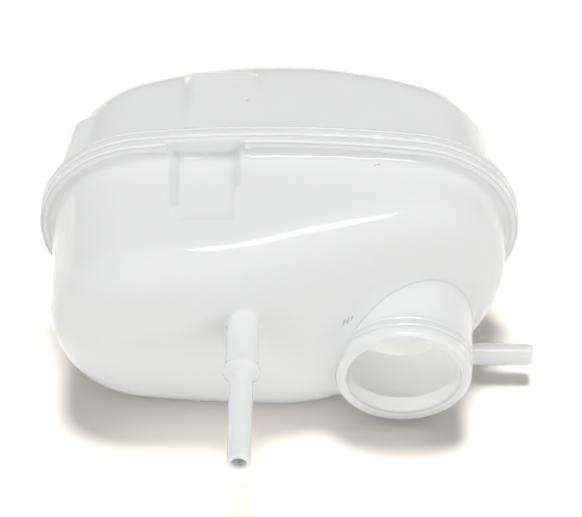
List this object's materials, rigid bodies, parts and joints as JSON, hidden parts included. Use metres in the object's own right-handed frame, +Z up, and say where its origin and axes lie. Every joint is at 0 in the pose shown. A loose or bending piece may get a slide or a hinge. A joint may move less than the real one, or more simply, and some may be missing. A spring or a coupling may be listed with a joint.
{
  "type": "coolant expansion tank",
  "caption": "Oval translucent plastic coolant expansion tank welded from two half shells, with an open filler neck, hose spigots and a bracket pad, lying on its side.",
  "frame": {"origin": "centre of the footprint of the lying tank, on the surface that it rests on", "axes": "+X along the tank towards the bleed spigot, +Y away from the filler neck's mouth towards the feed outlet, +Z up"},
  "size_m": [0.193, 0.23, 0.0986],
  "materials": {
    "natural_plastic": "natural polypropylene, milky and slightly translucent, satin gloss from the mould"
  },
  "bodies": {
    "root": {"upper_shell": "natural_plastic", "lower_shell": "natural_plastic"}
  },
  "joints": []
}
